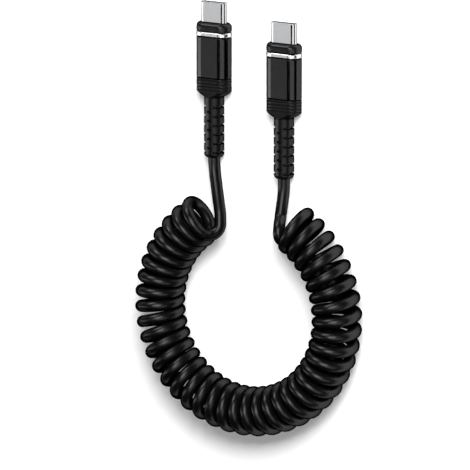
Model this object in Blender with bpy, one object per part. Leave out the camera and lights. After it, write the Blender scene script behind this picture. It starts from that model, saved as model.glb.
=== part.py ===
"""A coiled USB-C to USB-C cable, lying flat on a level floor.

Metres, +Z up. The two plugs lie side by side along Y with their mouths towards +Y. Their leads run back
to the two ends of a coil that is bent round into an open C. The origin lies on the floor, under the
middle of the box round the two plugs.
"""

import math

import bmesh
import bpy
from mathutils import Vector

mm = 0.001

# Room between pieces that touch.
seam = 0.3 * mm

# The metal shell of a USB-C plug, and the contact block inside it.
shell_width = 8.25 * mm
shell_height = 2.40 * mm
shell_wall = 0.30 * mm
shell_reach = 6.00 * mm
shell_lip_round = 0.10 * mm
shell_seat_depth = 1.20 * mm
contact_recess = 1.20 * mm
contact_side_wall = 0.375 * mm
contact_face_wall = 0.25 * mm
contact_slot_depth = 4.20 * mm

# The moulded body: a collar round the shell's foot, and a core inside the sleeve.
collar_proud = 0.05 * mm
collar_length = 2.40 * mm
collar_front_round = 1.10 * mm
collar_edge_round = 0.15 * mm
core_clearance = 0.30 * mm

# The bright trim ring and the metal sleeve.
sleeve_width = 10.90 * mm
sleeve_height = 5.80 * mm
sleeve_length = 11.75 * mm
sleeve_wall = 0.70 * mm
sleeve_edge_round = 0.10 * mm
ring_proud = 0.05 * mm
ring_length = 1.25 * mm
ring_chamfer = 0.20 * mm

# The strain relief: a grooved shoulder as wide as the sleeve, then a round slotted boot.
shoulder_length = 5.48 * mm
shoulder_slope_length = 1.70 * mm
shoulder_slope_power = 1.4
groove_count = 4
groove_first = 0.40 * mm
groove_width = 0.40 * mm
groove_wall_slope = 0.10 * mm
groove_end_clearance = 0.15 * mm
groove_depth = 0.22 * mm
neck_width = 0.30 * mm
neck_wall_slope = 0.08 * mm
neck_depth = 0.25 * mm
boot_diameter = 5.90 * mm
boot_length = 17.97 * mm
boot_end_round = 1.20 * mm
slot_height = 0.45 * mm
slot_depth = 0.75 * mm
slot_wall_slope = 0.05 * mm
slot_first = 2.60 * mm
slot_end_clearance = 0.35 * mm
side_slot_count = 6
side_slot_angle = math.radians(128)
face_slot_count = 5
face_slot_angle = math.radians(28)

# The cord, and the coil it is wound into.
cord_diameter = 3.50 * mm
coil_outer_diameter = 14.30 * mm
coil_bend_radius = 29.80 * mm
coil_span = math.radians(300.4)

# Where the plugs and the coil lie.
plug_spacing = 23.50 * mm
plug_stagger = 3.80 * mm
coil_offset_x = 2.35 * mm
coil_offset_y = -64.20 * mm

section_steps = 16
edge_steps = 4
coil_section_steps = 24
coil_bend_steps = 60
lead_point_spacing = 1.5 * cord_diameter
lead_straight_end = 0.5 * cord_diameter
lead_bevel_resolution = 2
lead_curve_steps = 24

collar_width = sleeve_width + 2 * collar_proud
collar_height = sleeve_height + 2 * collar_proud
groove_run = shoulder_length - shoulder_slope_length - groove_end_clearance - groove_first - groove_width
groove_pitch = groove_run / (groove_count - 1)
slot_run = boot_length - boot_end_round - slot_end_clearance - slot_first - slot_height
slot_pitch = slot_run / (side_slot_count - 1)

plug_axis_height = collar_height / 2
plug_length = (
    shell_reach + collar_length + seam + ring_length + seam + sleeve_length + seam
    + shoulder_length + boot_length
)
coil_centre = Vector((coil_offset_x, coil_offset_y, coil_outer_diameter / 2))
wire_circle_radius = (coil_outer_diameter - cord_diameter) / 2


def clear_scene():
    for thing in list(bpy.data.objects):
        bpy.data.objects.remove(thing, do_unlink=True)


def material(name, colour, metallic, roughness):
    """A plain Principled material, made once and then shared."""
    found = bpy.data.materials.get(name)
    if found:
        return found
    made = bpy.data.materials.new(name)
    made.use_nodes = True
    surface = made.node_tree.nodes["Principled BSDF"]
    surface.inputs["Base Color"].default_value = (*colour, 1.0)
    surface.inputs["Metallic"].default_value = metallic
    surface.inputs["Roughness"].default_value = roughness
    return made


def cord_jacket():
    return material("cord_jacket", (0.014, 0.014, 0.015), 0.0, 0.38)


def finish(thing, surface):
    """Put a material on an object, shade its round faces smooth and link it to the scene."""
    thing.data.materials.append(surface)
    bpy.context.scene.collection.objects.link(thing)
    if thing.type == "MESH":
        thing.data.shade_smooth()
        thing.data.set_sharp_from_angle(angle=math.radians(32))
    return thing


def stadium(width, height, y):
    """A ring of points round a flat bar with fully round sides, in the plane at y.

    The round sides are polygons drawn about their arcs, so the flats lie at half the width and height.
    """
    radius = height / 2
    corner = radius / math.cos(math.pi / (2 * section_steps))
    points = []
    for side in (1, -1):
        for step in range(section_steps):
            angle = math.pi * (step + 0.5) / section_steps
            x = side * ((width - height) / 2 + corner * math.sin(angle))
            z = side * corner * math.cos(angle)
            points.append(Vector((x, y, z)))
    return points


def loft(name, rings, closed=False):
    """A closed mesh through rings of equal count: capped at both ends, or joined end to start."""
    mesh = bmesh.new()
    loops = [[mesh.verts.new(point) for point in ring] for ring in rings]
    pairs = list(zip(loops, loops[1:]))
    if closed:
        pairs.append((loops[-1], loops[0]))
    for first, second in pairs:
        for index in range(len(first)):
            after = (index + 1) % len(first)
            mesh.faces.new((first[index], first[after], second[after], second[index]))
    if not closed:
        mesh.faces.new(loops[0])
        mesh.faces.new(loops[-1])
    bmesh.ops.recalc_face_normals(mesh, faces=mesh.faces)
    data = bpy.data.meshes.new(name)
    mesh.to_mesh(data)
    mesh.free()
    return bpy.data.objects.new(name, data)


def rounded_edge(width, height, y, radius, facing):
    """Rings of a quarter round: from the side of a bar to its end face at y, facing +1 or -1."""
    rings = []
    for step in range(edge_steps + 1):
        angle = math.pi / 2 * step / edge_steps
        inset = radius * (1 - math.cos(angle))
        back = radius * (1 - math.sin(angle))
        rings.append(stadium(width - 2 * inset, height - 2 * inset, y - facing * back))
    return rings


def sleeve_like(name, width, height, hollow_width, hollow_height, front, back, edge, edge_is_round=True):
    """A tube along Y between two planes, with its outer edges rounded or chamfered."""
    if edge_is_round:
        outer = rounded_edge(width, height, front, edge, 1)[::-1]
        outer += rounded_edge(width, height, back, edge, -1)
    else:
        small = (width - 2 * edge, height - 2 * edge)
        outer = [stadium(*small, front), stadium(width, height, front - edge)]
        outer += [stadium(width, height, back + edge), stadium(*small, back)]
    inner = [stadium(hollow_width, hollow_height, y) for y in (back, front)]
    return loft(name, outer + inner, closed=True)


def usb_shell(name, foot):
    """The drawn metal shell: a thin flat tube with a rounded lip, its foot seated in the collar."""
    mouth = foot + shell_reach
    back = foot - shell_seat_depth
    hollow = (shell_width - 2 * shell_wall, shell_height - 2 * shell_wall)
    lip = rounded_edge(shell_width, shell_height, mouth, shell_lip_round, 1)
    inner_lip = [
        stadium(hollow[0] + 2 * wider, hollow[1] + 2 * wider, mouth - lower)
        for wider, lower in ((shell_lip_round, 0.0), (0.0, shell_lip_round))
    ]
    rings = [stadium(shell_width, shell_height, back)] + lip + inner_lip + [stadium(*hollow, back)]
    return loft(name, rings, closed=True)


def contact_block(name, foot):
    """The plastic block that carries the contacts: it fills the shell behind its mouth, round a slot."""
    front = foot + shell_reach - contact_recess
    back = foot - shell_seat_depth
    width = shell_width - 2 * shell_wall - 2 * seam
    height = shell_height - 2 * shell_wall - 2 * seam
    slot = (width - 2 * contact_side_wall, height - 2 * contact_face_wall)
    rings = [stadium(width, height, back), stadium(width, height, front)]
    rings += [stadium(*slot, front), stadium(*slot, front - contact_slot_depth)]
    return loft(name, rings)


def moulded_body(name, foot):
    """The collar and the core as one moulding, with a pocket for the shell's foot."""
    collar_back = foot - collar_length
    core_end = collar_back - seam - ring_length - seam - sleeve_length
    core_width = sleeve_width - 2 * sleeve_wall - 2 * core_clearance
    core_height = sleeve_height - 2 * sleeve_wall - 2 * core_clearance
    pocket = (shell_width + 2 * seam, shell_height + 2 * seam)
    rings = [stadium(core_width, core_height, y) for y in (core_end, collar_back)]
    rings += rounded_edge(collar_width, collar_height, collar_back, collar_edge_round, -1)[::-1]
    rings += rounded_edge(collar_width, collar_height, foot, collar_front_round, 1)
    rings += [stadium(*pocket, foot), stadium(*pocket, foot - shell_seat_depth - seam)]
    return loft(name, rings)


def blend(start, end, share):
    return start + (end - start) * share


def slotted_ring(y, middles, half_angle):
    """A ring of the round boot whose points near the given directions lie at the slots' floor."""
    points = stadium(boot_diameter, boot_diameter, y)
    floor = 1 - slot_depth / (boot_diameter / 2)
    for point in points:
        angle = math.atan2(point.x, point.z)
        if min(abs(math.remainder(angle - middle, 2 * math.pi)) for middle in middles) < half_angle:
            point.x *= floor
            point.z *= floor
    return points


def slot_rows(shoulder_end):
    """The boot's slots from front to back: wide ones down its sides, narrow ones between on its faces."""
    rows = []
    for index in range(side_slot_count):
        y = shoulder_end - slot_first - index * slot_pitch
        rows.append((y, (math.pi / 2, -math.pi / 2), side_slot_angle / 2))
    for index in range(face_slot_count):
        y = shoulder_end - slot_first - (index + 0.5) * slot_pitch
        rows.append((y, (0.0, math.pi), face_slot_angle / 2))
    return sorted(rows, key=lambda row: -row[0])


def strain_relief(name, front):
    """The grooved shoulder, which narrows at its end, the neck, and the slotted boot, as one piece."""
    shoulder_end = front - shoulder_length
    boot_end = shoulder_end - boot_length
    rings = rounded_edge(sleeve_width, sleeve_height, front, sleeve_edge_round, 1)[::-1]
    groove = (sleeve_width - 2 * groove_depth, sleeve_height - 2 * groove_depth)
    for index in range(groove_count):
        top = front - groove_first - index * groove_pitch
        rings.append(stadium(sleeve_width, sleeve_height, top))
        rings.append(stadium(*groove, top - groove_wall_slope))
        rings.append(stadium(*groove, top - groove_width + groove_wall_slope))
        rings.append(stadium(sleeve_width, sleeve_height, top - groove_width))
    slope_start = shoulder_end + shoulder_slope_length
    for step in range(edge_steps + 1):
        share = step / edge_steps
        width = blend(sleeve_width, boot_diameter, share ** shoulder_slope_power)
        height = blend(sleeve_height, boot_diameter, share ** shoulder_slope_power)
        rings.append(stadium(width, height, slope_start - shoulder_slope_length * share))
    neck = boot_diameter - 2 * neck_depth
    rings.append(stadium(neck, neck, shoulder_end - neck_wall_slope))
    rings.append(stadium(neck, neck, shoulder_end - neck_width + neck_wall_slope))
    rings.append(stadium(boot_diameter, boot_diameter, shoulder_end - neck_width))
    for top, middles, half_angle in slot_rows(shoulder_end):
        rings.append(stadium(boot_diameter, boot_diameter, top))
        rings.append(slotted_ring(top - slot_wall_slope, middles, half_angle))
        rings.append(slotted_ring(top - slot_height + slot_wall_slope, middles, half_angle))
        rings.append(stadium(boot_diameter, boot_diameter, top - slot_height))
    rings += rounded_edge(boot_diameter, boot_diameter, boot_end, boot_end_round, -1)
    return loft(name, rings)


def plug(side, axis_x, mouth_y):
    """One plug: shell, contact block, moulded body, trim ring, sleeve and strain relief."""
    bright = material("bright_steel", (0.72, 0.73, 0.75), 1.0, 0.18)
    black_plastic = material("black_plastic", (0.020, 0.020, 0.022), 0.0, 0.45)
    chrome = material("chrome_trim", (0.86, 0.87, 0.89), 1.0, 0.06)
    black_metal = material("black_anodised_metal", (0.045, 0.045, 0.050), 0.85, 0.28)
    black_rubber = material("black_rubber", (0.018, 0.018, 0.019), 0.0, 0.62)

    foot = -shell_reach
    ring_front = foot - collar_length - seam
    sleeve_front = ring_front - ring_length - seam
    relief_front = sleeve_front - sleeve_length - seam
    hollow = (sleeve_width - 2 * sleeve_wall, sleeve_height - 2 * sleeve_wall)
    ring_size = (sleeve_width + 2 * ring_proud, sleeve_height + 2 * ring_proud)

    pieces = [
        (usb_shell(f"{side}_usb_shell", foot), bright),
        (contact_block(f"{side}_contact_block", foot), black_plastic),
        (moulded_body(f"{side}_moulded_body", foot), black_plastic),
        (
            sleeve_like(f"{side}_trim_ring", *ring_size, *hollow, ring_front,
                        ring_front - ring_length, ring_chamfer, edge_is_round=False),
            chrome,
        ),
        (
            sleeve_like(f"{side}_metal_sleeve", sleeve_width, sleeve_height, *hollow,
                        sleeve_front, sleeve_front - sleeve_length, sleeve_edge_round),
            black_metal,
        ),
        (strain_relief(f"{side}_strain_relief", relief_front), black_rubber),
    ]
    place = bpy.data.objects.new(f"{side}_plug_place", None)
    place.location = (axis_x, mouth_y, plug_axis_height)
    bpy.context.scene.collection.objects.link(place)
    for piece, surface in pieces:
        finish(piece, surface).parent = place


def coil():
    """The coil as one fat tube of its outer diameter, bent round the coil's centre into an open C."""
    sides = coil_section_steps
    corner = coil_outer_diameter / 2 / math.cos(math.pi / sides)
    rings = []
    for bend_step in range(coil_bend_steps + 1):
        bend = coil_span * (bend_step / coil_bend_steps - 0.5)
        outward = Vector((math.sin(bend), -math.cos(bend), 0.0))
        ring = []
        for step in range(sides):
            angle = 2 * math.pi * (step + 0.5) / sides
            reach = coil_bend_radius + corner * math.cos(angle)
            ring.append(coil_centre + outward * reach + Vector((0.0, 0.0, corner * math.sin(angle))))
        rings.append(ring)
    return finish(loft("coil", rings), cord_jacket())


def coil_end(side):
    """Where the cord leaves the coil's inner side, and the way it then points: side -1 left, +1 right."""
    bend = side * coil_span / 2
    outward = Vector((math.sin(bend), -math.cos(bend), 0.0))
    along = Vector((math.cos(bend), math.sin(bend), 0.0)) * side
    return coil_centre + outward * (coil_bend_radius - wire_circle_radius), along


def smooth_points(route, spacing):
    """Points at an even spacing on a smooth curve (Catmull-Rom) through the route's own points."""
    ends = [2 * route[0] - route[1]] + route + [2 * route[-1] - route[-2]]
    fine = []
    for before, start, end, after in zip(ends, ends[1:], ends[2:], ends[3:]):
        for step in range(lead_curve_steps):
            t = step / lead_curve_steps
            fine.append(
                0.5 * (2 * start + (end - before) * t
                       + (2 * before - 5 * start + 4 * end - after) * t ** 2
                       + (3 * start - before - 3 * end + after) * t ** 3)
            )
    fine.append(route[-1])
    runs = [0.0]
    for start, end in zip(fine, fine[1:]):
        runs.append(runs[-1] + (end - start).length)
    count = max(3, round(runs[-1] / spacing)) + 1
    points = []
    index = 0
    for number in range(count):
        target = runs[-1] * number / (count - 1)
        while index < len(fine) - 2 and runs[index + 1] < target:
            index += 1
        share = (target - runs[index]) / (runs[index + 1] - runs[index])
        points.append(fine[index].lerp(fine[index + 1], share))
    return points


def lead(name, side, boot_end, middle_points):
    """The straight stretch of cord from the boot to the coil, through points chosen by hand."""
    exit_point, along = coil_end(side)
    away = Vector((0.0, -1.0, 0.0))
    route = [boot_end + away * (seam + lead_straight_end)]
    route += [Vector(point) * mm for point in middle_points]
    route.append(exit_point + along * (seam + lead_straight_end))
    points = [boot_end + away * seam]
    points += smooth_points(route, lead_point_spacing)
    points.append(exit_point + along * seam)
    curve = bpy.data.curves.new(name, "CURVE")
    curve.dimensions = "3D"
    curve.bevel_depth = cord_diameter / 2
    curve.bevel_resolution = lead_bevel_resolution
    curve.use_fill_caps = True
    spline = curve.splines.new("POLY")
    spline.points.add(len(points) - 1)
    for slot, point in zip(spline.points, points):
        slot.co = (*point, 1.0)
    return finish(bpy.data.objects.new(name, curve), cord_jacket())


left_route = [
    (-11.45, -25.0, 3.10),
    (-10.30, -29.0, 4.05),
    (-8.95, -33.0, 5.25),
    (-7.70, -36.4, 6.40),
    (-7.25, -39.3, 7.00),
]
right_route = [
    (11.75, -28.5, 3.05),
    (11.65, -32.5, 3.80),
    (11.70, -36.3, 4.90),
    (12.20, -39.6, 6.20),
]

clear_scene()
coil()
for side_name, side_sign, route_points in (("left", -1, left_route), ("right", 1, right_route)):
    plug_x = side_sign * plug_spacing / 2
    plug_y = (plug_length - side_sign * plug_stagger) / 2
    plug(side_name, plug_x, plug_y)
    boot_tip = Vector((plug_x, plug_y - plug_length, plug_axis_height))
    lead(f"{side_name}_lead", side_sign, boot_tip, route_points)
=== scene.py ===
import math

import bmesh
import bpy
import numpy as np
from mathutils import Matrix, Vector


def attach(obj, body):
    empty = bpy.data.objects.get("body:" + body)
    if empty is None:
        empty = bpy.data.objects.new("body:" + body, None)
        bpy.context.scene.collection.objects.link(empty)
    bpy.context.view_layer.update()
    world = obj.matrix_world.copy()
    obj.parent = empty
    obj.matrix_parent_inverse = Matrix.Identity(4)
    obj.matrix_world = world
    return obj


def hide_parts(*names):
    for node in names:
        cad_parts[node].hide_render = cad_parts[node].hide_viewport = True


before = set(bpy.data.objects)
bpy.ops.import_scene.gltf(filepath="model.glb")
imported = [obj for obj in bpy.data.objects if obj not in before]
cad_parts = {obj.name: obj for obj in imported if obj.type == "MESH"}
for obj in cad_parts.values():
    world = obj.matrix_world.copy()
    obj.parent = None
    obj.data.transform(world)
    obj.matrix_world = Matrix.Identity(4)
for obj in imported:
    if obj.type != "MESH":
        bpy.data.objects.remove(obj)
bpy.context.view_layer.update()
mm = 0.001
tiny = 1e-9                         # keeps a length that is divided by from being nothing
creaseAngle = 40                    # degrees: edges that turn more stay sharp
# the near-black of the painted dark rims: a painted shade the finishes mix in where a surface turns away
paintedRimShade = (0.0012, 0.0012, 0.0012)
print("frame loaded:", len(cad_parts), "CAD nodes")

# the photograph's view: a long lens looking down on the cable, which lies flat, its plugs' mouths to the top
view = {
    "turn": 31.0,                   # degrees from straight above, towards +X
    "lean": 12.5,                   # degrees from straight above, towards the plugs' mouths
    "distance": 2000 * mm,
    "pixelsPerMm": 3.45,
    "imageSize": 470,
    "coilMiddle": (2.35, -64.2, 7.15),
    "coilPixel": (248.45, 310.5),   # where that point lies in the picture
    "sensor": 36.0,                 # millimetres
    "farClip": 20.0,                # metres
}

# the cord, in millimetres: its two leads by listed points, its coil by its sizes
cordSizes = {
    "diameter": 3.5,
    "coilDiameter": 14.7,
    "coilBendRadius": 29.8,
    "coilSpan": 304.8,              # degrees
    "coilCrowding": 8.2,            # degrees by which the first turns lie closer than the last
    "coilMiddle": (2.30, -64.26),
    "coilOval": 0.30,               # how far the ring is drawn out along one diagonal
    "turns": 39,
    "lift": 0.85,                   # how far the first turn stands out of the ring
    "liftTurns": 3.0,               # how many turns that fades over
    "opening": 1.7,                 # how far the last turn stands out from the others
    "openingTurns": 2.0,            # how many turns that fades over
    "leftBoot": (-11.75, -20.975, 2.95),
    "leftRoute": [
        (-11.45, -25.0, 3.10),
        (-10.30, -29.0, 4.05),
        (-8.95, -33.0, 5.25),
        (-7.70, -36.4, 6.40),
        (-7.25, -39.3, 7.00),
    ],
    "rightBoot": (11.75, -24.775, 2.95),
    "rightRoute": [
        (11.75, -28.5, 3.05),
        (11.65, -32.5, 3.80),
        (11.65, -35.8, 4.70),
        (12.45, -37.6, 6.60),
    ],
    "insideBoot": 0.8,              # how far each end starts inside its boot
    "leftJoin": 0.12,               # share of a turn that the left lead's bend into the coil takes
    "rightJoin": 0.06,              # and the right lead's
    "joinPull": 8.5,                # how firmly those bends keep their direction
    "stepsPerTurn": 64,
    "stepsPerSpan": 10,             # along the leads, between two route points
    "joinSteps": 26,
    "sides": 20,
    "touchShare": 0.99,             # how much of the room between turns a turn fills
    "touchSoftness": 40.0,
}


def unit(rows):
    return rows / np.linalg.norm(rows, axis=-1, keepdims=True)


def windRadius():
    return (cordSizes["coilDiameter"] - cordSizes["diameter"]) / 2


def coilBend(share):
    # the bend angle b(u) = span u + crowding (u^2 - 1/12), for u = s / turns - 1/2
    u = share / cordSizes["turns"] - 0.5
    span, crowding = math.radians(cordSizes["coilSpan"]), math.radians(cordSizes["coilCrowding"])
    return span * u + crowding * (u ** 2 - 1 / 12)


def bendGrowth(share):
    # how fast the bend grows with s: (span + 2 crowding u) / turns
    u = share / cordSizes["turns"] - 0.5
    span, crowding = math.radians(cordSizes["coilSpan"]), math.radians(cordSizes["coilCrowding"])
    return (span + 2 * crowding * u) / cordSizes["turns"]


def coilReach(share):
    # how far the cord is from the bend's middle: R - oval sin 2 b - w cos 2 pi s, where the first turns'
    # outer parts also stand out by lift e^(-s / fade) (1 - cos 2 pi s) / 2
    ring = cordSizes["coilBendRadius"] - cordSizes["coilOval"] * np.sin(2 * coilBend(share))
    wave = np.cos(2 * np.pi * share)
    standOut = cordSizes["lift"] * np.exp(-share / cordSizes["liftTurns"]) * (1 - wave) / 2
    return ring - windRadius() * wave + standOut


def coilOpening(share):
    # the last turns' outer parts lean towards +X: opening e^((s - turns) / fade) (1 - cos 2 pi s) / 2
    fade = np.exp((share - cordSizes["turns"]) / cordSizes["openingTurns"])
    return cordSizes["opening"] * fade * (1 - np.cos(2 * np.pi * share)) / 2


def coilPoint(share):
    # C(s) = middle + outward(b) reach(s) + up (w sin 2 pi s) + (opening(s), 0, 0), at the bend b(s)
    s = np.atleast_1d(np.asarray(share, float))
    bend = coilBend(s)
    x = cordSizes["coilMiddle"][0] + coilReach(s) * np.sin(bend) + coilOpening(s)
    y = cordSizes["coilMiddle"][1] - coilReach(s) * np.cos(bend)
    z = cordSizes["coilDiameter"] / 2 + windRadius() * np.sin(2 * np.pi * s)
    return np.stack([x, y, z], axis=1)


def coilRadial(share):
    # from the coil's own centreline out to the cord's: -outward(b) cos 2 pi s + up sin 2 pi s
    s = np.atleast_1d(np.asarray(share, float))
    bend = coilBend(s)
    turn = 2 * np.pi * s
    return np.stack([-np.sin(bend) * np.cos(turn), np.cos(bend) * np.cos(turn), np.sin(turn)], axis=1)


def pressed(share):
    # touching turns press each other narrower: a soft minimum of 1 and room / diameter
    room = coilReach(share) * bendGrowth(share) * cordSizes["touchShare"]
    k = cordSizes["touchSoftness"]
    return -np.log(np.exp(-k) + np.exp(-k * room / cordSizes["diameter"])) / k


def smoothThrough(points, perSpan):
    # Catmull-Rom: each span is a cubic of t in its four nearest points
    p = np.asarray(points, float)
    p = np.vstack([2 * p[0] - p[1], p, 2 * p[-1] - p[-2]])
    t = (np.arange(perSpan) / perSpan)[None, :, None]
    a, b, c, d = (p[k:len(p) - 3 + k, None, :] for k in range(4))
    curve = 0.5 * (2 * b + (c - a) * t + (2 * a - 5 * b + 4 * c - d) * t ** 2
                   + (3 * b - a - 3 * c + d) * t ** 3)
    return np.vstack([curve.reshape(-1, 3), p[-2]])


def hermite(start, startPull, end, endPull, count):
    # P(t) = h00 start + h10 startPull + h01 end + h11 endPull
    t = np.linspace(0, 1, count)[:, None]
    return ((2 * t ** 3 - 3 * t ** 2 + 1) * start + (t ** 3 - 2 * t ** 2 + t) * startPull
            + (3 * t ** 2 - 2 * t ** 3) * end + (t ** 3 - t ** 2) * endPull)


def leadAndBend(boot, route, coilShare, direction):
    # from inside the boot through the route's points, then one bend into the coil at coilShare
    inside = (boot[0], boot[1] + cordSizes["insideBoot"], boot[2])
    lead = smoothThrough([inside, boot] + route, cordSizes["stepsPerSpan"])
    pull = cordSizes["joinPull"]
    leaving = unit(lead[-1] - lead[-3]) * pull
    step = 1e-3
    entering = unit(coilPoint(coilShare + step)[0] - coilPoint(coilShare - step)[0]) * pull * direction
    bend = hermite(lead[-1], leaving, coilPoint(coilShare)[0], entering, cordSizes["joinSteps"])
    return np.vstack([lead[:-1], bend])


def cordPath():
    # the whole centreline, the direction each ring of the tube is turned to, and how narrow it is pressed
    first, last = cordSizes["leftJoin"], cordSizes["turns"] - cordSizes["rightJoin"]
    left = leadAndBend(cordSizes["leftBoot"], cordSizes["leftRoute"], first, 1)
    right = leadAndBend(cordSizes["rightBoot"], cordSizes["rightRoute"], last, -1)[::-1]
    shares = np.linspace(first, last, int((last - first) * cordSizes["stepsPerTurn"]) + 1)
    path = np.vstack([left[:-1], coilPoint(shares), right[1:]])
    sideways = np.array([[1.0, 0.0, 0.0]])
    up = np.vstack([
        np.repeat(sideways, len(left) - 1, axis=0),
        coilRadial(shares),
        np.repeat(-sideways, len(right) - 1, axis=0),
    ])
    narrow = np.concatenate([np.ones(len(left) - 1), pressed(shares), np.ones(len(right) - 1)])
    return path, up, narrow


def turnOutwards(mesh):
    edit = bmesh.new()
    edit.from_mesh(mesh)
    bmesh.ops.recalc_face_normals(edit, faces=edit.faces)
    edit.to_mesh(mesh)
    edit.free()


def meshFromGrid(name, points, closedRows=False, capStart=False, capEnd=False, uv=None, marks=None):
    # points is (rows, columns, 3), its columns running right round: one quad a cell
    rows, columns = points.shape[:2]
    index = np.arange(rows * columns).reshape(rows, columns)
    here = index if closedRows else index[:-1]
    below = np.roll(index, -1, axis=0) if closedRows else index[1:]
    quads = np.stack([here, np.roll(here, -1, axis=1), np.roll(below, -1, axis=1), below], axis=-1)
    faces = quads.reshape(-1, 4).tolist()
    if capStart:
        faces.append(index[0][::-1].tolist())
    if capEnd:
        faces.append(index[-1].tolist())
    mesh = bpy.data.meshes.new(name)
    mesh.from_pydata((points * mm).reshape(-1, 3).tolist(), [], faces)
    if uv is not None:
        # uv is (rows, columns + 1, 2): its last column closes the way round
        corners = np.stack([uv[:-1, :-1], uv[:-1, 1:], uv[1:, 1:], uv[1:, :-1]], axis=2).reshape(-1, 2)
        flat = np.zeros((len(mesh.loops), 2))
        flat[:len(corners)] = corners
        mesh.uv_layers.new(name="along").data.foreach_set("uv", flat.ravel())
    for markName, values in (marks or {}).items():
        layer = mesh.attributes.new(markName, "FLOAT", "POINT")
        layer.data.foreach_set("value", np.ascontiguousarray(values, dtype=np.float32).ravel())
    turnOutwards(mesh)
    return mesh


def addPiece(name, mesh, surface, replaced=()):
    piece = bpy.data.objects.new(name, mesh)
    bpy.context.scene.collection.objects.link(piece)
    mesh.materials.append(surface)
    mesh.shade_smooth()
    mesh.set_sharp_from_angle(angle=math.radians(creaseAngle))
    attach(piece, "root")
    if replaced:
        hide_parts(*replaced)
    return piece


class Wire:
    # one socket of a node tree; Python's signs on it add Math nodes

    def __init__(self, tree, socket):
        self.tree = tree
        self.socket = socket

    def maths(self, operation, first, second):
        return addNode(self.tree, "ShaderNodeMath", {"operation": operation}, {0: first, 1: second})

    def __add__(self, other):
        return self.maths("ADD", self, other)

    def __sub__(self, other):
        return self.maths("SUBTRACT", self, other)

    def __rsub__(self, other):
        return self.maths("SUBTRACT", other, self)

    def __mul__(self, other):
        return self.maths("MULTIPLY", self, other)

    __radd__ = __add__
    __rmul__ = __mul__


def addNode(tree, kind, settings=None, values=None, output=0):
    # the settings are set first, then each socket gets its value or its link
    node = tree.nodes.new(kind)
    for key, value in (settings or {}).items():
        setattr(node, key, value)
    for key, value in (values or {}).items():
        if isinstance(value, Wire):
            tree.links.new(value.socket, node.inputs[key])
        else:
            node.inputs[key].default_value = value
    return Wire(tree, node.outputs[output])


def asColour(value):
    return value if isinstance(value, Wire) else (*value, 1.0)


class Finish:
    # a material with one main Principled shader, whose constants are set on its own sockets

    def __init__(self, name, constants):
        self.material = bpy.data.materials.new(name)
        self.material.use_nodes = True
        self.tree = self.material.node_tree
        self.shader = self.tree.nodes["Principled BSDF"]
        for key, value in constants.items():
            self.shader.inputs[key].default_value = value

    def place(self):
        return addNode(self.tree, "ShaderNodeTexCoord", output=3)

    def alongCord(self):
        return addNode(self.tree, "ShaderNodeUVMap", {"uv_map": "along"})

    def mark(self, name):
        return addNode(self.tree, "ShaderNodeAttribute", {"attribute_name": name}, output=2)

    def stretched(self, place, scale):
        return addNode(self.tree, "ShaderNodeMapping", {}, {"Vector": place, "Scale": scale})

    def noise(self, place, perMetre, detail, rough=0.5):
        values = {"Vector": place, "Scale": perMetre, "Detail": detail, "Roughness": rough}
        return addNode(self.tree, "ShaderNodeTexNoise", {}, values)

    def mixed(self, factor, low, high):
        # low and high are colours, or wires that carry one
        values = {0: factor, 6: asColour(low), 7: asColour(high)}
        return addNode(self.tree, "ShaderNodeMix", {"data_type": "RGBA"}, values, output=2)

    def swung(self, middle, *swings):
        # middle + swing (noise - 1/2) for each noise and its swing
        total = middle
        for noise, swing in swings:
            total = total + (noise - 0.5) * swing
        return total

    def feed(self, name, wire):
        self.tree.links.new(wire.socket, self.shader.inputs[name])

    def paintedDarkRims(self, start, gain):
        # painted dark rims: where the surface turns away from the camera, Layer Weight mixes in a second,
        # near-black shader without gloss, a painted shade on the rims
        matt = {"Base Color": asColour(paintedRimShade), "Roughness": 1.0, "Specular IOR Level": 0.0}
        deep = addNode(self.tree, "ShaderNodeBsdfPrincipled", {}, matt)
        facing = addNode(self.tree, "ShaderNodeLayerWeight", {}, {"Blend": 0.5}, output=1)
        clamped = {"operation": "MULTIPLY", "use_clamp": True}
        share = addNode(self.tree, "ShaderNodeMath", clamped, {0: facing - start, 1: gain})
        shaders = {0: share, 1: Wire(self.tree, self.shader.outputs[0]), 2: deep}
        mixed = addNode(self.tree, "ShaderNodeMixShader", {}, shaders)
        self.tree.links.new(mixed.socket, self.tree.nodes["Material Output"].inputs["Surface"])

    def bump(self, height, distance, strength):
        values = {"Height": height, "Distance": distance, "Strength": strength}
        self.feed("Normal", addNode(self.tree, "ShaderNodeBump", {}, values))


# in every look, gloss is the roughness, a noise has its bumps per metre, its swing is how much it changes the
# roughness, and the painted rims say where the gloss starts to give way to painted dark shade and how fast
def jacketFinish():
    # a smooth drawn jacket: faint lengthwise die lines, a very fine grain and patches of softer gloss
    look = {
        "dark": (0.0010, 0.0010, 0.0011),
        "light": (0.0022, 0.0022, 0.0024),
        "gloss": 0.30,
        "patches": 160.0,
        "patchSwing": 0.10,
        "grain": 9000.0,
        "grainSwing": 0.06,
        "dieLines": 5200.0,
        "lineStretch": (0.02, 1.0, 1.0),
        "lineShare": 0.6,               # of the bump; the grain has the rest
        "depth": 0.012 * mm,
        "strength": 0.3,
        "paintedRims": (0.25, 2.8),
    }
    finish = Finish("cordJacket", {"IOR": 1.42})
    along = finish.alongCord()
    dieLines = finish.noise(finish.stretched(along, look["lineStretch"]), look["dieLines"], 1.0)
    grain = finish.noise(along, look["grain"], 3.0)
    patches = finish.noise(finish.place(), look["patches"], 2.0)
    finish.feed("Base Color", finish.mixed(patches, look["dark"], look["light"]))
    swings = (patches, look["patchSwing"]), (grain, look["grainSwing"])
    finish.feed("Roughness", finish.swung(look["gloss"], *swings))
    relief = dieLines * look["lineShare"] + grain * (1 - look["lineShare"])
    finish.bump(relief, look["depth"], look["strength"])
    # painted shade: the rims are painted dark where the surface turns away
    finish.paintedDarkRims(*look["paintedRims"])
    return finish.material


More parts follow.
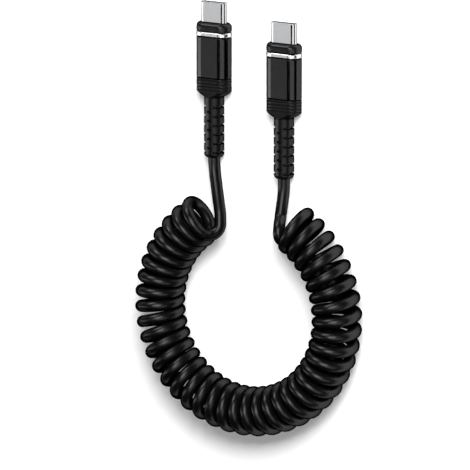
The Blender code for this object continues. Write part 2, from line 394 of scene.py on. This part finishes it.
def steelFinish():
    # bright drawn steel: fine marks along the draw, faint smears, and edges rubbed smoother
    look = {
        "dark": (0.50, 0.505, 0.515),
        "light": (0.62, 0.625, 0.63),
        "gloss": 0.11,
        "smears": 420.0,
        "smearSwing": 0.08,
        "drawMarks": 9000.0,
        "markStretch": (1.0, 0.04, 1.0),
        "markSwing": 0.05,
        "markShare": 0.6,               # of the colour; the smears have the rest
        "edgeGloss": 0.03,
        "depth": 0.006 * mm,
        "strength": 0.5,
        "paintedRims": (0.32, 2.2),
    }
    finish = Finish("drawnSteel", {"Metallic": 1.0})
    place = finish.place()
    drawMarks = finish.noise(finish.stretched(place, look["markStretch"]), look["drawMarks"], 2.0)
    smears = finish.noise(place, look["smears"], 3.0)
    edge = finish.mark("edge")
    tint = drawMarks * look["markShare"] + smears * (1 - look["markShare"])
    finish.feed("Base Color", finish.mixed(tint, look["dark"], look["light"]))
    swings = (smears, look["smearSwing"]), (drawMarks, look["markSwing"])
    finish.feed("Roughness", finish.swung(look["gloss"], *swings) - edge * look["edgeGloss"])
    finish.bump(drawMarks, look["depth"], look["strength"])
    # painted shade: the rims are painted dark where the surface turns away
    finish.paintedDarkRims(*look["paintedRims"])
    return finish.material


def chromeFinish():
    # polished trim: nearly a mirror, with hairline marks round it and edges rubbed a little softer
    look = {
        "dark": (0.90, 0.905, 0.91),
        "light": (0.97, 0.972, 0.975),
        "gloss": 0.19,
        "smears": 500.0,
        "smearSwing": 0.05,
        "hairlines": 12000.0,
        "hairStretch": (0.06, 1.0, 0.06),
        "hairSwing": 0.04,
        "edgeSoftness": 0.05,
        "depth": 0.003 * mm,
        "strength": 0.4,
        "paintedRims": (0.34, 2.2),
    }
    finish = Finish("chromeTrim", {"Metallic": 1.0})
    place = finish.place()
    hairlines = finish.noise(finish.stretched(place, look["hairStretch"]), look["hairlines"], 2.0)
    smears = finish.noise(place, look["smears"], 2.0)
    edge = finish.mark("edge")
    finish.feed("Base Color", finish.mixed(hairlines, look["dark"], look["light"]))
    swings = (smears, look["smearSwing"]), (hairlines, look["hairSwing"])
    finish.feed("Roughness", finish.swung(look["gloss"], *swings) + edge * look["edgeSoftness"])
    finish.bump(hairlines, look["depth"], look["strength"])
    # painted shade: the rims are painted dark where the surface turns away
    finish.paintedDarkRims(*look["paintedRims"])
    return finish.material


def anodisedFinish():
    # black anodised metal: a satin blasted grain, long faint marks, and edges rubbed slightly brighter
    look = {
        "dark": (0.0145, 0.0145, 0.0152),
        "light": (0.0185, 0.0185, 0.0194),
        "rubbed": (0.05, 0.05, 0.052),
        "gloss": 0.15,
        "smears": 220.0,
        "smearSwing": 0.10,
        "grain": 14000.0,
        "grainSwing": 0.08,
        "longMarks": 4200.0,
        "markStretch": (1.0, 0.03, 1.0),
        "rubs": 2600.0,
        "rubLeast": 0.35,               # how far a rubbed edge is bright everywhere
        "rubSwing": 0.8,
        "colourGrain": 0.5,             # shares of the grain; the long marks have the rest
        "bumpGrain": 0.7,
        "depth": 0.006 * mm,
        "strength": 0.5,
        "paintedRims": (0.42, 1.8),
    }
    finish = Finish("blackAnodised", {"Metallic": 1.0, "Specular Tint": (0.5, 0.5, 0.5, 1.0)})
    place = finish.place()
    grain = finish.noise(place, look["grain"], 2.0)
    longMarks = finish.noise(finish.stretched(place, look["markStretch"]), look["longMarks"], 2.0)
    smears = finish.noise(place, look["smears"], 3.0)
    rubs = finish.noise(place, look["rubs"], 3.0)
    rubbed = finish.mark("edge") * (look["rubLeast"] + rubs * look["rubSwing"])
    tint = grain * look["colourGrain"] + longMarks * (1 - look["colourGrain"])
    body = finish.mixed(tint, look["dark"], look["light"])
    finish.feed("Base Color", finish.mixed(rubbed, body, look["rubbed"]))
    swings = (smears, look["smearSwing"]), (grain, look["grainSwing"])
    finish.feed("Roughness", finish.swung(look["gloss"], *swings))
    relief = grain * look["bumpGrain"] + longMarks * (1 - look["bumpGrain"])
    finish.bump(relief, look["depth"], look["strength"])
    # painted shade: the rims are painted dark where the surface turns away
    finish.paintedDarkRims(*look["paintedRims"])
    return finish.material


def mouldingFinish():
    # hard black moulding: a fine spark-eroded texture under a satin gloss
    look = {
        "dark": (0.0022, 0.0022, 0.0023),
        "light": (0.0050, 0.0050, 0.0052),
        "gloss": 0.25,
        "texture": 7000.0,
        "textureSwing": 0.16,
        "patches": 350.0,
        "patchSwing": 0.08,
        "depth": 0.02 * mm,
        "strength": 0.6,
        "paintedRims": (0.25, 2.4),
    }
    finish = Finish("blackMoulding", {"IOR": 1.42})
    place = finish.place()
    texture = finish.noise(place, look["texture"], 4.0, 0.6)
    patches = finish.noise(place, look["patches"], 2.0)
    finish.feed("Base Color", finish.mixed(texture, look["dark"], look["light"]))
    swings = (texture, look["textureSwing"]), (patches, look["patchSwing"])
    finish.feed("Roughness", finish.swung(look["gloss"], *swings))
    finish.bump(texture, look["depth"], look["strength"])
    # painted shade: the rims are painted dark where the surface turns away
    finish.paintedDarkRims(*look["paintedRims"])
    return finish.material


def rubberFinish():
    # soft black moulding of the strain relief: finely grained, and dusty and duller in its hollows
    look = {
        "dark": (0.0020, 0.0020, 0.0021),
        "light": (0.0048, 0.0048, 0.0050),
        "dust": (0.010, 0.010, 0.0103),
        "gloss": 0.22,
        "patches": 300.0,
        "patchSwing": 0.14,
        "grain": 8500.0,
        "grainSwing": 0.12,
        "grainShare": 0.5,              # of the colour; the patches have the rest
        "dustMost": 0.5,
        "hollowSoftness": 0.2,
        "depth": 0.018 * mm,
        "strength": 0.4,
        "paintedRims": (0.25, 2.4),
    }
    finish = Finish("softBlackMoulding", {"IOR": 1.32})
    place = finish.place()
    grain = finish.noise(place, look["grain"], 3.0, 0.6)
    patches = finish.noise(place, look["patches"], 3.0)
    hollow = finish.mark("hollow")
    tint = grain * look["grainShare"] + patches * (1 - look["grainShare"])
    body = finish.mixed(tint, look["dark"], look["light"])
    finish.feed("Base Color", finish.mixed(hollow * patches * look["dustMost"], body, look["dust"]))
    swings = (patches, look["patchSwing"]), (grain, look["grainSwing"])
    finish.feed("Roughness", finish.swung(look["gloss"], *swings) + hollow * look["hollowSoftness"])
    finish.bump(grain, look["depth"], look["strength"])
    # painted shade: the rims are painted dark where the surface turns away
    finish.paintedDarkRims(*look["paintedRims"])
    return finish.material


def goldFinish():
    # thin gold plating on the contacts, paler where it is rubbed
    look = {
        "dark": (0.78, 0.52, 0.19),
        "light": (0.95, 0.70, 0.34),
        "gloss": 0.24,
        "rubs": 5000.0,
        "rubStretch": (1.0, 0.15, 1.0),
        "rubSwing": 0.2,
        "depth": 0.004 * mm,
        "strength": 0.5,
    }
    finish = Finish("goldPlating", {"Metallic": 1.0})
    rubbed = finish.noise(finish.stretched(finish.place(), look["rubStretch"]), look["rubs"], 2.0)
    finish.feed("Base Color", finish.mixed(rubbed, look["dark"], look["light"]))
    finish.feed("Roughness", finish.swung(look["gloss"], (rubbed, look["rubSwing"])))
    finish.bump(rubbed, look["depth"], look["strength"])
    return finish.material


jacket = jacketFinish()
steel = steelFinish()
chrome = chromeFinish()
anodised = anodisedFinish()
moulding = mouldingFinish()
rubber = rubberFinish()
gold = goldFinish()
finishes = (jacket, steel, chrome, anodised, moulding, rubber, gold)
print("finishes made:", ", ".join(finish.name for finish in finishes))


def buildCord():
    # surface(u, v) = path(u) + r (narrow(u) cos v side(u) + sin v up(u))
    path, up, narrow = cordPath()
    along = unit(np.gradient(path, axis=0))
    up = unit(up - (up * along).sum(axis=1, keepdims=True) * along)
    side = np.cross(along, up)
    sides = cordSizes["sides"]
    v = 2 * np.pi * np.arange(sides) / sides
    radius = cordSizes["diameter"] / 2
    ring = (side[:, None] * (np.cos(v)[None, :, None] * narrow[:, None, None])
            + up[:, None] * np.sin(v)[None, :, None])
    points = path[:, None] + radius * ring
    run = np.concatenate([[0.0], np.cumsum(np.linalg.norm(np.diff(path, axis=0), axis=1))])
    around = radius * 2 * np.pi * np.arange(sides + 1) / sides
    uv = np.stack(np.broadcast_arrays(run[:, None] * mm, around[None] * mm), axis=-1)
    mesh = meshFromGrid("cord", points, capStart=True, capEnd=True, uv=uv)
    piece = addPiece("cord", mesh, jacket, ("left_lead", "coil", "right_lead"))


buildCord()

# one plug, in millimetres: y is 0 at its mouth and falls towards its boot, z is 0 on its axis
plugPlaces = {
    "left": {"x": -11.75, "mouth": 24.775},
    "right": {"x": 11.75, "mouth": 20.975},
    "height": 2.95,
}
plugSizes = {
    "foot": -6.0,                   # where the shell leaves the collar
    "collarBack": -8.4,
    "ringFront": -8.7,
    "ringBack": -9.95,
    "sleeveFront": -10.25,
    "sleeveBack": -22.0,
    "reliefFront": -22.3,
    "shoulderEnd": -27.78,
    "bootEnd": -45.75,
    "width": 10.9,
    "height": 5.8,
    "flatTurn": 3.0,                # degrees of the way round that half a flat takes
    "flatEdge": 0.93,               # share of that at which a flat's outer columns stand
    "arcSteps": 27,
    "hold": 0.05,                   # rows this far from a rounding keep flats flat
    "longRun": 0.25,                # how long a run of the profile has to be to get them
    "cornerTurn": 0.01,             # 1 - cos of the least turn that is marked as an edge
    "edgeReach": 0.12,              # how far an edge's mark fades out
}


def sectionAngles(extra=()):
    # degrees right round the section, from its top: few on the flats, even steps round the sides, and the
    # extra ones beside the top and the bottom
    flat = plugSizes["flatTurn"]
    near = flat * plugSizes["flatEdge"]
    sides = np.linspace(flat, 180 - flat, plugSizes["arcSteps"], endpoint=False)
    half = np.concatenate([[-flat, -near, -flat / 3, flat / 3, near], sides])
    more = np.asarray(extra, float)
    angles = np.concatenate([half, half + 180, more, more + 180, -more, 180 - more])
    return np.unique(np.round(np.mod(angles + flat, 360), 4)) - flat


def aroundPlug(side, rows, angles=None):
    # S(u, v) = (flat(u) clip(sin v / sin flatTurn) + r(u, v) sin v, y(u), r(u, v) cos v), at the plug's place
    angles = sectionAngles() if angles is None else angles
    v = np.radians(angles)
    y, flat, radius = rows
    if radius.ndim == 1:
        radius = radius[:, None]
    flatShare = np.clip(np.sin(v) / math.sin(math.radians(plugSizes["flatTurn"])), -1, 1)
    x = flat[:, None] * flatShare + radius * np.sin(v)
    z = radius * np.cos(v)
    place = plugPlaces[side]
    y = np.broadcast_to(y[:, None], x.shape)
    return np.stack([x + place["x"], y + place["mouth"], z + plugPlaces["height"]], axis=-1)


def held(profile):
    # extra rows beside each corner of a long run: the run's ends moved in by the hold
    points = np.asarray(profile, float)
    step = np.diff(points, axis=0)
    length = np.linalg.norm(step, axis=1)
    hold = plugSizes["hold"]
    long = length > plugSizes["longRun"]
    share = np.where(long, hold / np.maximum(length, tiny), 0.0)[:, None]
    after = points[:-1] + step * share
    before = points[1:] - step * share
    keep = np.column_stack([np.ones(len(step), bool), long, long])
    full = np.stack([points[:-1], after, before], axis=1)[keep]
    return np.vstack([full, points[-1:]])


def cornerArc(y, inset, radius, start, end, steps=7):
    # (y + r sin t, inset - r cos t) for t from start to end, in degrees
    t = np.radians(np.linspace(start, end, steps))
    return np.column_stack([y + radius * np.sin(t), inset - radius * np.cos(t)])


def insetRows(profile, width, height):
    # a (y, inset) profile of a bar: the same flat throughout, and the radius less the inset
    points = held(profile)
    flat = np.full(len(points), (width - height) / 2)
    return points[:, 0], flat, height / 2 - points[:, 1]


def joinRows(*parts):
    # rows of one (y, flat, radius) after another's
    return tuple(np.concatenate(column) for column in zip(*parts))


def edgeMarks(profile, columns, reach):
    # e^-(distance / reach)^2 from the profile's nearest corner
    points = held(profile)
    step = np.diff(points, axis=0)
    direction = step / np.maximum(np.linalg.norm(step, axis=1, keepdims=True), tiny)
    turn = np.zeros(len(points))
    turn[1:-1] = 1 - (direction[1:] * direction[:-1]).sum(axis=1)
    corner = points[turn > plugSizes["cornerTurn"]]
    gap = np.linalg.norm(points[:, None] - corner[None], axis=2).min(axis=1)
    return np.repeat(np.exp(-(gap / reach) ** 2)[:, None], columns, axis=1)


def buildTube(side, name, profile, sizes, surface, replaced):
    # the profile closes on itself, so the surface is a ring round the plug
    points = aroundPlug(side, insetRows(profile, sizes["width"], sizes["height"]))
    marks = edgeMarks(profile, points.shape[1], sizes["edgeReach"])
    mesh = meshFromGrid(f"{side}{name}", points[:-1], closedRows=True, marks={"edge": marks[:-1]})
    addPiece(f"{side}{name}", mesh, surface, (f"{side}_{replaced}",))


shellSizes = {"width": 8.25, "height": 2.40, "wall": 0.30, "seatDepth": 1.2, "edgeReach": 0.15}


def buildShell(side):
    # a thin flat tube: its outside, a half-round lip and its inside
    wall = shellSizes["wall"]
    back = plugSizes["foot"] - shellSizes["seatDepth"]
    lip = cornerArc(-wall / 2, wall / 2, wall / 2, 0, 180, 11)
    profile = np.vstack([[(back, 0.0), (plugSizes["foot"], 0.0)], lip, [(back, wall), (back, 0.0)]])
    buildTube(side, "PlugShell", profile, shellSizes, steel, "usb_shell")


blockSizes = {"width": 7.05, "height": 1.20, "front": -1.2, "edge": 0.06,
              "slotWidth": 6.30, "slotHeight": 0.70, "slotDepth": 4.2}


def buildContactBlock(side):
    # a flat bar with a slot in its front; the slot's floor and the bar's back are closed
    sizes = blockSizes
    front, edge = sizes["front"], sizes["edge"]
    back = plugSizes["foot"] - shellSizes["seatDepth"]
    outer = np.vstack([[(back, 0.0)], cornerArc(front - edge, edge, edge, 0, 90)])
    slot = [(front, 0.0), (front - sizes["slotDepth"], 0.0)]
    rows = joinRows(insetRows(outer, sizes["width"], sizes["height"]),
                    insetRows(slot, sizes["slotWidth"], sizes["slotHeight"]))
    mesh = meshFromGrid(f"{side}ContactBlock", aroundPlug(side, rows), capStart=True, capEnd=True)
    addPiece(f"{side}ContactBlock", mesh, moulding, (f"{side}_contact_block",))


contactSizes = {
    "count": 12,
    "pitch": 0.5,
    "width": 0.24,
    "thick": 0.05,
    "front": -1.55,
    "back": -5.0,
    "nose": 0.5,                    # how far behind its front a spring is at its thickest
    "noseTop": 0.25,                # and from where it slopes down to the front
    "rise": 0.03,
}


def buildContacts(side):
    # two rows of flat springs, each a bar of four corners through four stations along y, with a raised nose:
    # P = (middle + across width / 2, y, sign (slot height / 2 - inwards (thick + rise)))
    sizes = contactSizes
    count, front, rise = sizes["count"], sizes["front"], sizes["rise"]
    sign = np.array([1, -1])[:, None, None, None]
    middle = ((np.arange(count) - (count - 1) / 2) * sizes["pitch"])[:, None, None]
    y = np.array([sizes["back"], front - sizes["nose"], front - sizes["noseTop"], front])[:, None]
    thick = sizes["thick"] + np.array([0.0, rise, rise, 0.0])[:, None]
    across, inwards = np.array([-1, 1, 1, -1]), np.array([0, 0, 1, 1])
    x = middle + across * sizes["width"] / 2
    z = sign * (blockSizes["slotHeight"] / 2 - inwards * thick)
    place = plugPlaces[side]
    grids = np.broadcast_arrays(x + place["x"], y + place["mouth"], z + plugPlaces["height"])
    points = np.stack(grids, axis=-1)
    index = np.arange(points[..., 0].size).reshape(-1, 4, 4)
    beside = np.roll(index, -1, axis=2)
    walls = np.stack([index[:, :-1], beside[:, :-1], beside[:, 1:], index[:, 1:]], axis=-1)
    faces = np.concatenate([walls.reshape(-1, 4), index[:, [0, -1]].reshape(-1, 4)])
    mesh = bpy.data.meshes.new(f"{side}Contacts")
    mesh.from_pydata((points * mm).reshape(-1, 3).tolist(), [], faces.tolist())
    turnOutwards(mesh)
    addPiece(f"{side}Contacts", mesh, gold)


bodySizes = {"proud": 0.05, "frontRound": 1.10, "backRound": 0.15, "coreInset": 1.0, "pocketRoom": 0.3,
             "lip": 0.12}


def buildMouldedBody(side):
    # a collar with a pocket for the shell's foot, and behind it the core that fills the sleeve
    sizes = plugSizes
    foot, back, coreBack = sizes["foot"], sizes["collarBack"], sizes["sleeveBack"]
    proud, inset = bodySizes["proud"], bodySizes["coreInset"]
    room, lip = bodySizes["pocketRoom"], bodySizes["lip"]
    frontRound, backRound = bodySizes["frontRound"], bodySizes["backRound"]
    behind = cornerArc(back + backRound, backRound - proud, backRound, -90, 0)
    ahead = cornerArc(foot - frontRound, frontRound - proud, frontRound, 0, 90, 14)
    outer = np.vstack([[(coreBack, inset), (back, inset)], behind, ahead])
    pocketFloor = (foot - shellSizes["seatDepth"] - room, 0.0)
    pocket = np.vstack([cornerArc(foot - lip, -lip, lip, 90, 180, 5), [pocketFloor]])
    rows = joinRows(insetRows(outer, sizes["width"], sizes["height"]),
                    insetRows(pocket, shellSizes["width"] + 2 * room, shellSizes["height"] + 2 * room))
    mesh = meshFromGrid(f"{side}MouldedBody", aroundPlug(side, rows), capStart=True, capEnd=True)
    addPiece(f"{side}MouldedBody", mesh, moulding, (f"{side}_moulded_body",))


tubeSizes = {"wall": 0.70, "ringProud": 0.05, "ringChamfer": 0.20, "chamferRound": 0.05, "sleeveEdge": 0.10}


def buildTrimRing(side):
    # a flat band with a small chamfer on each outer edge
    front, back = plugSizes["ringFront"], plugSizes["ringBack"]
    proud, chamfer, wall = tubeSizes["ringProud"], tubeSizes["ringChamfer"], tubeSizes["wall"]
    small = tubeSizes["chamferRound"]
    profile = np.array([
        (back, chamfer - proud), (back + chamfer - small, small / 2 - proud), (back + chamfer, -proud),
        (front - chamfer, -proud), (front - chamfer + small, small / 2 - proud), (front, chamfer - proud),
        (front, wall), (back, wall), (back, chamfer - proud),
    ])
    buildTube(side, "TrimRing", profile, plugSizes, chrome, "trim_ring")


def buildSleeve(side):
    # a plain tube with small rounded outer edges
    front, back = plugSizes["sleeveFront"], plugSizes["sleeveBack"]
    edge, wall = tubeSizes["sleeveEdge"], tubeSizes["wall"]
    profile = np.vstack([
        cornerArc(back + edge, edge, edge, -90, 0, 5), cornerArc(front - edge, edge, edge, 0, 90, 5),
        [(front, wall), (back, wall), (back, edge)],
    ])
    buildTube(side, "MetalSleeve", profile, plugSizes, anodised, "metal_sleeve")


reliefSizes = {
    "edge": 0.10,
    "slopeLength": 1.70,
    "slopePower": 1.4,
    "slopeRows": 12,
    "grooves": 4,
    "grooveFirst": 0.40,
    "groovePitch": 0.943,
    "grooveDepth": 0.22,
    # how far a row lies from a groove's front edge, and how deep
    "grooveRows": [(0.06, 0.0), (0.0, 0.0), (-0.04, 0.03), (-0.10, 0.16), (-0.16, 0.22),
                   (-0.24, 0.22), (-0.30, 0.16), (-0.36, 0.03), (-0.40, 0.0), (-0.46, 0.0)],
    "grooveRoom": 0.2,              # how far from the shoulder's ends its hollows are marked
    "neckDepth": 0.25,
    # how far a row lies behind the shoulder, and its share of the neck's depth
    "neckRows": [(0.03, 0.5), (0.08, 1.0), (0.15, 1.0), (0.22, 1.0), (0.27, 0.5), (0.30, 0.0), (0.38, 0.0)],
    "bootRadius": 2.95,
    "endRound": 1.2,
    "endRows": 12,
    "holeRadius": 1.75,
    "holeLip": 0.05,
    "holeDepth": 1.0,
    "slotsStart": 1.0,              # how far behind the shoulder a slot may begin
    "slotHeight": 0.72,
    "slotDepth": 0.85,
    "slotWall": 0.07,
    "slotLead": 0.08,               # how far outside a slot its neighbouring rows lie
    "slotFirst": 2.50,
    "slotPitch": 2.674,
    "sideSlots": 6,
    "sideHalfAngle": 64.0,
    "faceSlots": 5,
    "faceHalfAngle": 14.0,
    "slotEndFade": 2.5,             # degrees over which a slot's ends rise
    "slotEndStep": 1.3,             # degrees from a slot's end to the columns beside it
}


def slotTops():
    # where each slot's front edge is: wide and narrow ones take turns
    s = reliefSizes
    slots = np.arange(s["sideSlots"] + s["faceSlots"])
    return plugSizes["shoulderEnd"] - s["slotFirst"] - s["slotPitch"] / 2 * slots


def shoulderRows():
    # a rounded front edge, then the grooves
    s = reliefSizes
    front, flat = plugSizes["reliefFront"], (plugSizes["width"] - plugSizes["height"]) / 2
    edge = cornerArc(front - s["edge"], s["edge"], s["edge"], 90, 0, 5)
    tops = front - s["grooveFirst"] - s["groovePitch"] * np.arange(s["grooves"])
    along, depth = np.array(s["grooveRows"]).T
    grooves = np.column_stack([(tops[:, None] + along).ravel(), np.tile(depth, len(tops))])
    points = np.vstack([edge, grooves])
    return points[:, 0], np.full(len(points), flat), plugSizes["height"] / 2 - points[:, 1]


def slopeRows():
    # from the shoulder's section to the boot's: everything follows t^power
    s = reliefSizes
    flat, radius = (plugSizes["width"] - plugSizes["height"]) / 2, plugSizes["height"] / 2
    t = np.linspace(0, 1, s["slopeRows"])
    sloped = t ** s["slopePower"]
    y = plugSizes["shoulderEnd"] + s["slopeLength"] * (1 - t)
    return y, flat * (1 - sloped), radius + (s["bootRadius"] - radius) * sloped


def bootRows():
    # the neck, the slots' rows, the end (bootEnd + r (1 - sin t), R - r (1 - cos t)) and the cord's hole
    s = reliefSizes
    bootEnd = plugSizes["bootEnd"]
    behind, neck = np.array(s["neckRows"]).T
    high, wall, lead = s["slotHeight"], s["slotWall"], s["slotLead"]
    inSlot = np.array([lead, 0, -wall / 2, -wall, -high / 3,
                       -high * 2 / 3, wall - high, wall / 2 - high, -high, -high - lead])
    slotY = (slotTops()[:, None] + inSlot).ravel()
    t = np.radians(np.linspace(0, 90, s["endRows"]))
    endY = bootEnd + s["endRound"] * (1 - np.sin(t))
    holeY = [bootEnd + s["holeLip"], bootEnd + s["holeDepth"]]
    y = np.concatenate([plugSizes["shoulderEnd"] - behind, slotY, endY, holeY])
    radius = np.concatenate([
        s["bootRadius"] - s["neckDepth"] * neck,
        np.full(len(slotY), s["bootRadius"]),
        s["bootRadius"] - s["endRound"] * (1 - np.cos(t)),
        np.full(len(holeY), s["holeRadius"]),
    ])
    return y, np.zeros(len(y)), radius


def slotMask(y, angles):
    # 1 inside a slot: wide slots on the two sides, and between them narrow ones on the two faces
    s = reliefSizes
    inside = slotTops()[None] - y[:, None]
    deep = np.clip(np.minimum(inside, s["slotHeight"] - inside) / s["slotWall"], 0, 1)
    deep[y > plugSizes["shoulderEnd"] - s["slotsStart"]] = 0

    def around(middle, half):
        gap = np.abs(np.mod(angles - middle + 90, 180) - 90)
        return np.clip((half - gap) / s["slotEndFade"] + 0.5, 0, 1)

    wide = deep[:, 0::2].max(axis=1)[:, None] * around(90, s["sideHalfAngle"])
    narrow = deep[:, 1::2].max(axis=1)[:, None] * around(0, s["faceHalfAngle"])
    return wide + narrow


def grooveMask(y, radius):
    # 1 at the bottom of the shoulder's grooves
    s = reliefSizes
    last = plugSizes["shoulderEnd"] + s["slopeLength"] - s["grooveRoom"]
    onShoulder = (y > last) & (y < plugSizes["reliefFront"] - s["grooveRoom"])
    return np.clip((plugSizes["height"] / 2 - radius) / s["grooveDepth"], 0, 1) * onShoulder


def buildStrainRelief(side):
    # r(u, v) = r(u) - slot depth where the slot mask is 1
    s = reliefSizes
    slotEnds = np.array([s["faceHalfAngle"], 90 - s["sideHalfAngle"]])
    angles = sectionAngles((slotEnds[:, None] + np.array([-1, 0, 1]) * s["slotEndStep"]).ravel())
    y, flat, radius = joinRows(shoulderRows(), slopeRows(), bootRows())
    mask = slotMask(y, angles)
    points = aroundPlug(side, (y, flat, radius[:, None] - s["slotDepth"] * mask), angles)
    hollow = np.clip(mask + grooveMask(y, radius)[:, None], 0, 1)
    mesh = meshFromGrid(f"{side}StrainRelief", points, capStart=True, capEnd=True, marks={"hollow": hollow})
    addPiece(f"{side}StrainRelief", mesh, rubber, (f"{side}_strain_relief",))


for side in ("left", "right"):
    buildShell(side)
    buildContactBlock(side)
    buildContacts(side)
    buildMouldedBody(side)
    buildTrimRing(side)
    buildSleeve(side)
    buildStrainRelief(side)
    print(side, "plug built")


def addCamera():
    # right, up and back are the camera's own axes, and its aim puts the coil's middle on its pixel
    a, e = math.radians(view["turn"]), math.radians(view["lean"])
    right = Vector((math.cos(a), 0, -math.sin(a)))
    up = Vector((-math.sin(a) * math.sin(e), math.cos(e), -math.cos(a) * math.sin(e)))
    back = Vector((math.sin(a) * math.cos(e), math.sin(e), math.cos(a) * math.cos(e)))
    coil = Vector(view["coilMiddle"]) * mm
    half = view["imageSize"] / 2
    perPixel = mm / view["pixelsPerMm"]
    aim = coil + right * (half - view["coilPixel"][0]) * perPixel
    aim += up * (view["coilPixel"][1] - half) * perPixel
    data = bpy.data.cameras.new("camera")
    data.sensor_width = view["sensor"]
    data.lens = view["sensor"] * view["distance"] / (view["imageSize"] * perPixel)
    data.clip_end = view["farClip"]
    camera = bpy.data.objects.new("camera", data)
    turned = Matrix((right, up, back)).transposed().to_4x4()
    camera.matrix_world = Matrix.Translation(aim + back * view["distance"]) @ turned
    bpy.context.scene.collection.objects.link(camera)
    bpy.context.scene.camera = camera


addCamera()
print("camera placed")

# the studio: a pale floor that glows a little, soft panels that show only in the gloss, and one that lights
# the floor and shows in no gloss
studio = {
    "floorSize": 6.0,
    "floorDrop": 0.02 * mm,
    "floorColour": (0.76, 0.76, 0.76),
    "floorRoughness": 0.9,
    "floorSheen": 0.2,
    "floorGlow": 0.30,
    "horizon": 0.08,                # how high the world's white reaches, as the sine of the angle
    # name: where it stands, what it faces, size across, size along, radiance, seen in the gloss
    "panels": {
        "leftPanel": ((-0.870, -0.214, 0.405), (0.0, 0.0, 0.003), 0.90, 0.14, 3.8, True),
        "leftEdgePanel": ((-0.503, -0.216, 0.837), (0.0, 0.0, 0.003), 0.16, 0.20, 0.95, True),
        "rightPanel": ((0.56, -0.32, 0.78), (0.0, 0.0, 0.003), 0.80, 0.46, 1.4, True),
        "keyPanel": ((0.17, 0.22, 0.955), (0.0, -0.04, 0.0), 0.56, 0.66, 5.2, True),
        "backPanel": ((-0.42, 0.77, 0.48), (0.0, 0.0, 0.003), 0.36, 0.46, 6.0, True),
        "floorPanel": ((0.44, 0.53, 0.725), (0.0, -0.04, 0.0), 0.50, 0.50, 29.0, False),
    },
}


def addFloor():
    half = studio["floorSize"]
    corners = [(-half, -half, 0), (half, -half, 0), (half, half, 0), (-half, half, 0)]
    mesh = bpy.data.meshes.new("floor")
    mesh.from_pydata(corners, [], [(0, 1, 2, 3)])
    floor = bpy.data.objects.new("floor", mesh)
    floor.location.z = -studio["floorDrop"]
    bpy.context.scene.collection.objects.link(floor)
    colour = (*studio["floorColour"], 1)
    finish = Finish("paleFloor", {
        "Base Color": colour,
        "Roughness": studio["floorRoughness"],
        "Specular IOR Level": studio["floorSheen"],
        "Emission Color": (1, 1, 1, 1),
        "Emission Strength": studio["floorGlow"],
    })
    mesh.materials.append(finish.material)


def addPanel(name, stand, faces, across, along, radiance, inGloss):
    # power = radiance pi across along, and the panel shines along its own -Z
    data = bpy.data.lights.new(name, "AREA")
    data.shape = "RECTANGLE"
    data.size = across
    data.size_y = along
    data.energy = radiance * math.pi * across * along
    panel = bpy.data.objects.new(name, data)
    towards = (Vector(stand) - Vector(faces)).normalized()
    sideways = Vector((0, 1, 0)).cross(towards).normalized()
    turned = Matrix((sideways, towards.cross(sideways), towards)).transposed().to_4x4()
    panel.matrix_world = Matrix.Translation(stand) @ turned
    panel.visible_camera = False
    panel.visible_glossy = inGloss
    panel.visible_diffuse = not inGloss
    bpy.context.scene.collection.objects.link(panel)


def addWorld():
    # white at the horizon, nearly black overhead
    world = bpy.data.worlds.new("studio")
    world.use_nodes = True
    tree = world.node_tree
    direction = addNode(tree, "ShaderNodeTexCoord", output=0)
    height = addNode(tree, "ShaderNodeSeparateXYZ", {}, {0: direction}, output=2)
    fade = {"Value": height, "From Min": 0.0, "From Max": studio["horizon"], "To Min": 1.0, "To Max": 0.0}
    glow = addNode(tree, "ShaderNodeMapRange", {"interpolation_type": "SMOOTHSTEP"}, fade)
    background = tree.nodes["Background"]
    background.inputs["Color"].default_value = (1, 1, 1, 1)
    tree.links.new(glow.socket, background.inputs["Strength"])
    bpy.context.scene.world = world


addFloor()
addWorld()
for name, numbers in studio["panels"].items():
    addPanel(name, *numbers)
bpy.context.scene.view_settings.view_transform = "Standard"
print("studio lit")
